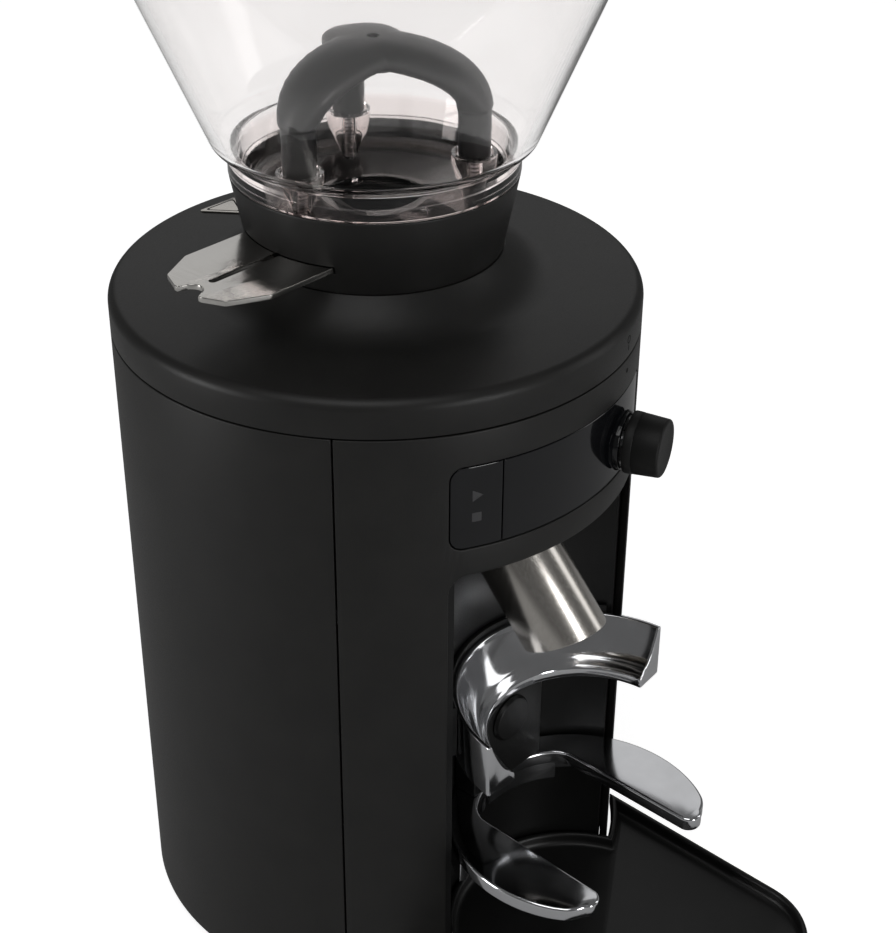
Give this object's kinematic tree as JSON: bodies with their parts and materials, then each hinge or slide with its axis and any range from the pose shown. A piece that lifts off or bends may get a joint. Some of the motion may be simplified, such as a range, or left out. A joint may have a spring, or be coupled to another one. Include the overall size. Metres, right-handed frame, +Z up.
{
  "type": "burr coffee grinder",
  "caption": "Upright cylindrical burr grinder with a clear bean hopper, angled spout, portafilter cradle and fork, and a pull-out tray.",
  "frame": {"origin": "on the surface the feet stand on, at the middle of the whole footprint including the tray", "axes": "+Z up, -Y towards the user (spout and tray side), +X to the user's right"},
  "size_m": [0.19, 0.279, 0.42],
  "materials": {
    "painted_body": "fine-textured satin charcoal black paint",
    "gloss_panel": "high-gloss black lens",
    "satin_plastic": "satin black moulding",
    "dark_plastic": "fine matt black moulding",
    "knob_plastic": "soft-touch matt black",
    "arch_plastic": "dark grey satin moulding",
    "brushed_steel": "fine brushed stainless steel",
    "polished_metal": "polished casting",
    "machine_steel": "machined steel",
    "cast_frame": "as-cast aluminium",
    "rotor_copper": "laminated core with copper bars",
    "circuit_board": "green laminate",
    "clear_plastic": "clear moulded plastic",
    "rubber": "matt rubber"
  },
  "bodies": {
    "housing": {"base_plate": "cast_frame", "foot_1": "rubber", "foot_2": "rubber", "foot_3": "rubber", "foot_4": "rubber", "front_cover": "painted_body", "rear_cover": "painted_body", "recess_liner": "satin_plastic", "frame_post_left": "machine_steel", "frame_post_right": "machine_steel", "frame_post_rear_left": "machine_steel", "frame_post_rear_right": "machine_steel", "motor_plate": "cast_frame", "motor_stator": "cast_frame", "lower_bearing": "machine_steel", "upper_bearing": "machine_steel", "grinding_chamber": "cast_frame", "spout_tube": "brushed_steel", "cradle": "polished_metal", "cradle_bracket": "satin_plastic", "fork_rail": "machine_steel", "panel_frame": "dark_plastic", "display_window": "gloss_panel", "display_module": "dark_plastic", "control_board": "circuit_board", "start_switch": "dark_plastic", "knob_bezel": "gloss_panel", "encoder_body": "dark_plastic", "power_board": "circuit_board", "power_inlet": "dark_plastic", "switch_housing": "dark_plastic"},
    "rotor": {"drive_shaft": "machine_steel", "rotor_core": "rotor_copper", "cooling_fan": "dark_plastic", "burr_carrier_lower": "machine_steel", "lower_burr": "machine_steel"},
    "upper_burr_set": {"burr_carrier_upper": "cast_frame", "upper_burr": "machine_steel"},
    "grind_ring": {"grind_ring": "painted_body", "badge_plate": "brushed_steel", "hopper_collar": "painted_body", "slide_pin": "machine_steel"},
    "bean_slide": {"hopper_slide": "brushed_steel"},
    "hopper": {"hopper": "clear_plastic", "guard_arch": "arch_plastic", "arch_screw_1": "machine_steel", "arch_screw_2": "machine_steel", "arch_screw_3": "machine_steel"},
    "lid": {"hopper_lid": "dark_plastic", "lid_seal": "rubber"},
    "fork": {"fork": "polished_metal", "fork_bracket": "satin_plastic"},
    "clamp_screw": {"clamp_screw": "satin_plastic"},
    "tray": {"tray": "satin_plastic"},
    "dial_plunger": {"encoder_shaft": "machine_steel"},
    "dial_knob": {"knob": "knob_plastic"},
    "start_button": {"start_button": "gloss_panel"},
    "power_rocker": {"power_rocker": "dark_plastic"}
  },
  "joints": [
    {"name": "rotor_spin", "type": "hinge", "parent": "housing", "child": "rotor", "pos_m": [0, 0.0445, 0.15], "axis": [0, 0, 1], "continuous": true},
    {"name": "grind_ring_turn", "type": "hinge", "parent": "housing", "child": "grind_ring", "pos_m": [0, 0.0445, 0.26], "axis": [0, 0, 1], "range_deg": [-150, 150]},
    {"name": "upper_burr_lift", "type": "slide", "parent": "housing", "child": "upper_burr_set", "axis": [0, 0, 1], "range_m": [-0.00065, 0.00065]},
    {"name": "bean_slide_pull", "type": "slide", "parent": "grind_ring", "child": "bean_slide", "axis": [1, 0, 0], "range_m": [0, 0.034]},
    {"name": "hopper_lift", "type": "slide", "parent": "grind_ring", "child": "hopper", "axis": [0, 0, 1], "range_m": [0, 0.04]},
    {"name": "lid_lift", "type": "slide", "parent": "hopper", "child": "lid", "axis": [0, 0, 1], "range_m": [0, 0.03]},
    {"name": "fork_height", "type": "slide", "parent": "housing", "child": "fork", "axis": [0, 0, 1], "range_m": [-0.014, 0]},
    {"name": "clamp_screw_turn", "type": "hinge", "parent": "fork", "child": "clamp_screw", "pos_m": [0, -0.0235, 0.1005], "axis": [0, -1, 0], "range_deg": [0, 270]},
    {"name": "tray_pull", "type": "slide", "parent": "housing", "child": "tray", "axis": [0, -1, 0], "range_m": [0, 0.1]},
    {"name": "dial_push", "type": "slide", "parent": "housing", "child": "dial_plunger", "axis": [-0.342, 0.9397, 0], "range_m": [0, 0.0008], "stiffness_N_per_m": 600},
    {"name": "dial_turn", "type": "hinge", "parent": "dial_plunger", "child": "dial_knob", "pos_m": [0.03762, -0.05887, 0.2175], "axis": [0.342, -0.9397, 0], "continuous": true},
    {"name": "start_button_push", "type": "slide", "parent": "housing", "child": "start_button", "axis": [0, 1, 0], "range_m": [0, 0.0012], "stiffness_N_per_m": 500},
    {"name": "power_rocker_tilt", "type": "hinge", "parent": "housing", "child": "power_rocker", "pos_m": [0, 0.13262, 0.062], "axis": [1, 0, 0], "range_deg": [-10, 10]}
  ],
  "couplings": [
    {"joint": "upper_burr_lift", "follows": "grind_ring_turn", "m_per_rad": 0.00023873}
  ]
}
